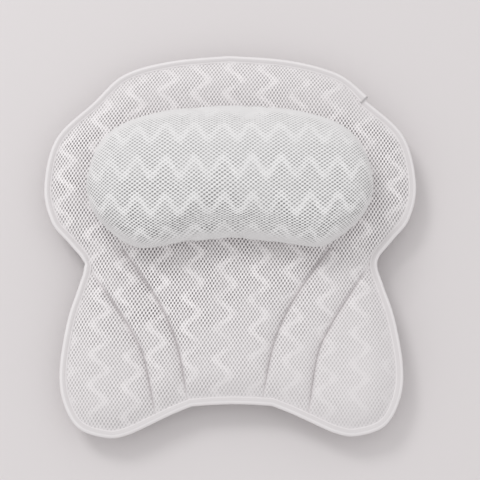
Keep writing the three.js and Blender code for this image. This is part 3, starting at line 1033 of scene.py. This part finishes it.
# Webbing tab: its flat bridge and the end of its slopes are measured from its middle, and
# its threads are pushed apart round the hole
strap_thickness = 0.0014
strap_columns, strap_rows = 13, 51
strap_bridge_half, strap_slope_end = 0.0095, 0.0155
strap_hole_play = 0.0009
strap_hole_cell = 0.0012
strap_spread_share, strap_push_share = 2.2, 1.2


def lathe(name, profile, sides, centre):
    """A closed surface turned about a vertical axis; the profile starts and ends on it."""
    points = []
    for r, z in profile[1:-1]:
        for k in range(sides):
            angle = 2 * math.pi * k / sides
            points.append((
                centre[0] + r * math.cos(angle), centre[1] + r * math.sin(angle), centre[2] + z,
            ))
    rows = len(profile) - 2
    faces = ring_faces(rows, sides, turned=True)
    top, low = len(points), len(points) + 1
    points.append((centre[0], centre[1], centre[2] + profile[0][1]))
    points.append((centre[0], centre[1], centre[2] + profile[-1][1]))
    last = (rows - 1) * sides
    for k in range(sides):
        step = (k + 1) % sides
        faces.append((top, k, step))
        faces.append((low, last + step, last + k))
    piece = link(name, points, faces)
    smooth(piece.data)
    return piece


def build_cup(where, hand, surface):
    """A suction cup: its dish, and above it the neck and head that the tab holds."""
    node = f"suction_cup_{where}_{hand}"
    low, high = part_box(node)
    strap_low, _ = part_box(f"cup_strap_{where}_{hand}")
    radius = (high.x - low.x) / 2
    dish_top = strap_low.z - cup_play
    head_low = high.z - cup_head_thickness
    outside, within = (
        [(r * radius, z * dish_top) for r, z in cup_profile_shares[face]]
        for face in ("outside", "inside")
    )
    profile = [
        (0, high.z), (cup_head - cup_head_round, high.z),
        (cup_head - cup_edge_round, high.z - cup_edge_round), (cup_head, high.z - cup_head_round),
        (cup_head, head_low + cup_head_under_round), (cup_head - cup_head_under_round, head_low),
        (cup_neck + cup_neck_round, head_low), (cup_neck, head_low - cup_neck_round),
        (cup_neck, dish_top + cup_neck_foot_rise), (cup_neck + cup_neck_foot, dish_top), *outside,
        (radius - cup_edge_round, cup_lip), (radius, cup_lip / 2),
        (radius - cup_edge_round, cup_lip_rise), (radius - cup_lip_width, 0), *within,
    ]
    centre = ((low.x + high.x) / 2, (low.y + high.y) / 2, 0)
    piece = lathe(f"cup_{where}_{hand}", profile, cup_sides, centre)
    finish_piece(piece, surface, f"cup_{where}_{hand}", [node])


def strap_faces(across, lengthwise):
    """Faces of a tab's upper and under side, open at the hole, and of its edges."""
    wide = strap_columns
    layer = wide * strap_rows
    faces = []
    for j in range(strap_rows - 1):
        for i in range(wide - 1):
            cell_u = (across[i] + across[i + 1]) / 2
            cell_v = (lengthwise[j] + lengthwise[j + 1]) / 2
            if math.hypot(cell_u, cell_v) < strap_hole_cell:
                continue
            a = j * wide + i
            b = layer + a
            faces.append((a, a + 1, a + 1 + wide, a + wide))
            faces.append((b + wide, b + 1 + wide, b + 1, b))
    edges = [(b, a, a + layer, b + layer) for a, b in open_edges(faces) if a < layer]
    return faces + edges


def build_strap(where, hand, surface):
    """A tab of webbing with a buttonhole, sewn down at both ends."""
    node = f"cup_strap_{where}_{hand}"
    low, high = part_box(node)
    x, y = (low.x + high.x) / 2, (low.y + high.y) / 2
    across = np.linspace((low.x - high.x) / 2, (high.x - low.x) / 2, strap_columns)
    lengthwise = np.linspace((low.y - high.y) / 2, (high.y - low.y) / 2, strap_rows)
    hole = cup_neck + strap_hole_play
    spread = hole * strap_spread_share
    points, cloth = [], []
    for side in (1, 0):
        for v in lengthwise:
            rise = smoothstep(strap_bridge_half, strap_slope_end, abs(v))
            z = low.z + (high.z - strap_thickness - low.z) * rise + strap_thickness * side
            for u in across:
                distance = math.hypot(u, v)
                place = (u, v)
                if no_length < distance < spread:
                    scale = (hole + distance / spread * hole * strap_push_share) / distance
                    place = (u * scale, v * scale)
                points.append((x + place[0], y + place[1], z))
                cloth.append(place)
    piece = link(f"strap_{where}_{hand}", points, strap_faces(across, lengthwise))
    dress_cloth(piece, np.array(cloth), np.ones(len(cloth)))
    body = f"wing_{hand}" if where == "wing" else "root"
    finish_piece(piece, surface, body, [node])


class Nodes:
    """Short ways to fill a node tree."""

    # The sockets of a mix node that are for colours
    mix_share, mix_a, mix_b, mix_result = 0, 6, 7, 2

    def __init__(self, tree):
        self.tree = tree

    def node(self, kind, inputs=None, **settings):
        made = self.tree.nodes.new(kind)
        for key, value in settings.items():
            setattr(made, key, value)
        for key, value in (inputs or {}).items():
            self.plug(value, made.inputs[key])
        return made

    def plug(self, value, socket):
        if isinstance(value, bpy.types.NodeSocket):
            self.tree.links.new(value, socket)
        else:
            socket.default_value = value

    def calc(self, operation, *values):
        made = self.node("ShaderNodeMath", operation=operation)
        for value, socket in zip(values, made.inputs):
            self.plug(value, socket)
        return made.outputs[0]

    def ramp(self, value, low, high, start=0.0, end=1.0):
        made = self.node(
            "ShaderNodeMapRange",
            {"Value": value, "From Min": low, "From Max": high, "To Min": start, "To Max": end},
            interpolation_type="SMOOTHSTEP",
        )
        return made.outputs["Result"]

    def mix(self, share, a, b):
        inputs = {self.mix_share: share, self.mix_a: a, self.mix_b: b}
        return self.node("ShaderNodeMix", inputs, data_type="RGBA").outputs[self.mix_result]

    def noise(self, scale):
        place = self.node("ShaderNodeTexCoord").outputs["Object"]
        return self.node("ShaderNodeTexNoise", {"Vector": place, "Scale": scale}).outputs["Fac"]

    def patches(self, scale, *ramp):
        return self.ramp(self.noise(scale), *ramp)


class Surface(Nodes):
    """A material."""

    def __init__(self, name, finish):
        self.material = bpy.data.materials.new(name)
        self.material.use_nodes = True
        super().__init__(self.material.node_tree)
        self.shader = self.tree.nodes["Principled BSDF"]
        for key, value in finish.items():
            self.shader.inputs[key].default_value = value

    def cloth_place(self):
        attribute = self.node("ShaderNodeAttribute", attribute_name="cloth")
        parts = self.node("ShaderNodeSeparateXYZ", {"Vector": attribute.outputs["Vector"]})
        return parts.outputs["X"], parts.outputs["Y"], parts.outputs["Z"]

    def colour(self, value):
        self.plug(value, self.shader.inputs["Base Color"])

    def waves(self, place, length):
        return self.calc("MULTIPLY", place, 2 * math.pi / length)

    def bump(self, height, distance, strength):
        made = self.node(
            "ShaderNodeBump", {"Height": height, "Distance": distance, "Strength": strength}
        )
        self.plug(made.outputs["Normal"], self.shader.inputs["Normal"])


# The mesh cloth, in metres: its holes stand in rows, each row half a step on, and bands of
# tighter holes run over it in zigzags. One set of slanted threads lies over the other.
# Patches are given as how many lie in a metre, where they start and end to show in the
# noise, and what they give there. A bump is a distance and a strength.
hole_step_across = 0.00366
hole_step_along = 0.00552
over_share, under_share = 0.53, 0.47
zigzag_step = 0.0349
zigzag_wave = 0.031
zigzag_reach = 0.0078
zigzag_core = 0.0006
zigzag_half = 0.0072
pad_band_faint, cushion_band_faint = 0.3, 0.58
zigzag_closes_share = 0.42
zigzag_lattice_share, zigzag_height_share = 0.12, 0.2
zigzag_patches = (48.0, 0.34, 0.56)
hole_start, hole_end = -0.25, 0.55
thread_wander, thread_wander_scale = 0.0007, 180.0
open_patches = (55.0, 0.35, 0.65, 0.8, 1.1)
# Painted highlight: patches where the threads take the glint colour.
glint_patches = (330.0, 0.4, 0.62)
mesh_bump = (0.0006, 0.4)
mesh_finish = {"Roughness": 0.9, "Specular IOR Level": 0.25, "Sheen Weight": 0.1}
# The hole colour is the grey pile seen through the holes, darkened by painted shade of the hollow
# inside.
pad_colours = {
    "thread": (0.9, 0.866, 0.874, 1), "band": (0.94, 0.905, 0.913, 1),
    "closed": (0.74, 0.712, 0.719, 1), "hole": (0.2, 0.186, 0.19, 1),
    "glint": (0.99, 0.96, 0.965, 1),
}
# Painted light: the cushion's copy of the cloth colours is cooler and greyer than the pad's, for the
# cooler light that falls on the cushion.
cushion_colours_painted_cool_light = {
    "thread": (0.85, 0.843, 0.843, 1), "band": (0.9, 0.892, 0.893, 1),
    "closed": (0.75, 0.739, 0.741, 1), "hole": (0.22, 0.216, 0.217, 1),
    "glint": (0.94, 0.932, 0.933, 1),
}


def mesh_surface(name, colours, faint):
    """Warp-knitted mesh: rounded holes between threads, closed up in zigzag bands. The holes'
    dark colour is painted shade of the hollow inside, and the glint colour a painted highlight.
    """
    s = Surface(name, mesh_finish)
    u, v, openness = s.cloth_place()
    wander = s.calc("SUBTRACT", s.noise(thread_wander_scale), 1 / 2)
    openness = s.calc("MULTIPLY", openness, s.patches(*open_patches))
    u = s.calc("ADD", u, s.calc("MULTIPLY", wander, thread_wander))
    turn_u, turn_v = s.waves(u, hole_step_across), s.waves(v, hole_step_along)
    over = s.calc("COSINE", s.calc("SUBTRACT", turn_u, turn_v))
    under = s.calc("COSINE", s.calc("ADD", turn_u, turn_v))
    over, under = s.calc("MULTIPLY", over, over_share), s.calc("MULTIPLY", under, under_share)
    lattice = s.calc("ADD", over, under)

    swing = s.calc("COSINE", s.waves(v, zigzag_wave))
    line = s.calc("ADD", u, s.calc("MULTIPLY", swing, zigzag_reach))
    away = s.calc("PINGPONG", line, zigzag_step / 2)
    band = s.ramp(away, zigzag_half, zigzag_core)
    band = s.calc("MULTIPLY", band, s.patches(*zigzag_patches, faint, 1.0))

    depth = s.calc("SUBTRACT", lattice, s.calc("MULTIPLY", band, zigzag_lattice_share))
    hole = s.ramp(depth, hole_start, hole_end)
    weak = s.calc("SUBTRACT", 1.0, s.calc("MULTIPLY", band, zigzag_closes_share))
    hole = s.calc("MULTIPLY", hole, weak)
    thread = s.mix(band, colours["thread"], colours["band"])
    # Painted highlight: glints on the threads.
    thread = s.mix(s.patches(*glint_patches), thread, colours["glint"])
    # Painted shade: the holes take the dark hole colour.
    pattern = s.mix(hole, thread, colours["hole"])
    # On the pad the openness also carries painted shade and light: darker holes near the cushion and
    # over the lower left, paler over the lower right.
    s.colour(s.mix(openness, colours["closed"], pattern))
    height = s.calc("SUBTRACT", s.calc("MULTIPLY", band, zigzag_height_share), hole)
    s.bump(s.calc("MULTIPLY", height, openness), *mesh_bump)
    return s.material


# Edge tape: ribs across it, and a pressed line along the middle of its upper face, darkened
# in colour as painted shade between its paler rim and inner edge
rib_step, rib_height = 0.0008, 0.3
tape_patch_scale = 70.0
pressed_shade_from, pressed_shade_to = (0.0018, 0.0028), (0.0068, 0.0056)
tape_bump = (0.0002, 0.3)
tape_finish = {"Roughness": 0.62, "Sheen Weight": 0.15}
tape_colours = {
    "dull": (0.78, 0.75, 0.757, 1), "pale": (0.84, 0.81, 0.817, 1),
    "pressed_shade": (0.7, 0.67, 0.677, 1), "crease": (0.4, 0.38, 0.385, 1),
}


def tape_surface():
    """Smooth woven binding with fine ribs across it, with painted shade along the middle of its
    upper face and at its join.
    """
    s = Surface("binding_tape", tape_finish)
    along, across, clear_of_join_shade = s.cloth_place()
    rib = s.calc("MULTIPLY", s.calc("SINE", s.waves(along, rib_step)), rib_height)
    patch = s.noise(tape_patch_scale)
    pressed_shade = s.calc("MULTIPLY", s.ramp(across, *pressed_shade_from), s.ramp(across, *pressed_shade_to))
    pale = s.mix(patch, tape_colours["dull"], tape_colours["pale"])
    # Painted shade: the middle band of the upper face.
    colour = s.mix(pressed_shade, pale, tape_colours["pressed_shade"])
    # Painted shade: the dark crease colour at the tape's join.
    s.colour(s.mix(clear_of_join_shade, tape_colours["crease"], colour))
    s.bump(s.calc("ADD", rib, patch), *tape_bump)
    return s.material


warp_step, weft_step = 0.0015, 0.0011
webbing_bump = (0.0003, 0.6)
webbing_finish = {"Roughness": 0.8}
webbing_dark, webbing_pale = (0.62, 0.62, 0.62, 1), (0.86, 0.86, 0.86, 1)


def webbing_surface():
    s = Surface("webbing", webbing_finish)
    across, along, _ = s.cloth_place()
    warp = s.calc("SINE", s.waves(across, warp_step))
    weft = s.calc("SINE", s.waves(along, weft_step))
    weave = s.calc("MULTIPLY", warp, weft)
    s.colour(s.mix(s.ramp(weave, -1.0, 1.0), webbing_dark, webbing_pale))
    s.bump(weave, *webbing_bump)
    return s.material


haze_scale = 120.0
haze_clear, haze_milky = (0.86, 0.9, 0.91, 1), (0.93, 0.96, 0.97, 1)
cup_finish = {"Roughness": 0.16, "IOR": 1.5, "Transmission Weight": 0.75}


def cup_surface():
    """Clear soft plastic, faintly milky."""
    s = Surface("cup_clear", cup_finish)
    s.colour(s.mix(s.noise(haze_scale), haze_clear, haze_milky))
    return s.material


# Stage
floor_half = 6.0
floor_drop = 0.0002
floor_finish = {"Base Color": (0.72, 0.685, 0.69, 1), "Roughness": 0.55}
key_size = 1.2
key_distance = 4.0
key_power = 36.0
key_azimuth = math.radians(-142)
key_elevation = math.radians(47)
world_strength = 0.815


def build_stage():
    """A plain pale floor."""
    corners = [(-1, -1), (1, -1), (1, 1), (-1, 1)]
    places = [(x * floor_half, y * floor_half, -floor_drop) for x, y in corners]
    floor = link("floor", places, [(0, 1, 2, 3)])
    floor.data.materials.append(Surface("floor", floor_finish).material)


def direction(azimuth, elevation):
    """Points from the object towards a place round it; azimuth 0 is straight before it."""
    return Vector((
        math.sin(azimuth) * math.cos(elevation), -math.cos(azimuth) * math.cos(elevation),
        math.sin(elevation),
    ))


def place_round(name, data, middle, towards, distance, roll=0.0):
    """Puts a lamp or a camera in a direction from a point, to look at that point."""
    made = bpy.data.objects.new(name, data)
    bpy.context.scene.collection.objects.link(made)
    made.location = middle + towards * distance
    made.rotation_mode = "QUATERNION"
    upright = towards.to_track_quat("Z", "Y")
    made.rotation_quaternion = upright @ Quaternion((0, 0, 1), roll)
    return made


def build_lights():
    """One soft lamp, and a world that is white where it is seen or mirrored."""
    lamp = bpy.data.lights.new("key", "AREA")
    lamp.shape = "SQUARE"
    lamp.size = key_size
    lamp.energy = key_power
    place_round("key", lamp, Vector(), direction(key_azimuth, key_elevation), key_distance)
    world = bpy.data.worlds.new("studio")
    bpy.context.scene.world = world
    world.use_nodes = True
    nodes = Nodes(world.node_tree)
    background = nodes.tree.nodes["Background"]
    background.inputs["Color"].default_value = (1, 1, 1, 1)
    rays = nodes.node("ShaderNodeLightPath").outputs
    seen = nodes.calc("MAXIMUM", rays["Is Camera Ray"], rays["Is Glossy Ray"])
    seen = nodes.calc("MAXIMUM", seen, rays["Is Transmission Ray"])
    level = nodes.node(
        "ShaderNodeMapRange", {"Value": seen, "To Min": world_strength, "To Max": 1.0}
    )
    nodes.plug(level.outputs["Result"], background.inputs["Strength"])


millimetres = 1000
nearest_seen = 0.01


def build_camera():
    lens = bpy.data.cameras.new("camera")
    lens.lens = view_lens * millimetres
    lens.sensor_width = sensor_width * millimetres
    lens.clip_start = nearest_seen
    towards = direction(view_azimuth, view_elevation)
    camera = place_round("camera", lens, view_target, towards, view_distance, view_roll)
    bpy.context.scene.camera = camera


build_camera()
build_stage()
build_lights()
build_pad(mesh_surface("pad_cloth", pad_colours, pad_band_faint))
build_tape(tape_surface())
# The cushion's cloth is a copy tinted as painted light.
build_cushion(mesh_surface("cushion_cloth_painted_cool_light", cushion_colours_painted_cool_light, cushion_band_faint))
webbing, clear = webbing_surface(), cup_surface()
for cup_where in ("top", "side", "wing"):
    for cup_hand in ("right", "left"):
        build_cup(cup_where, cup_hand, clear)
        build_strap(cup_where, cup_hand, webbing)

bpy.context.scene.view_settings.view_transform = "Standard"
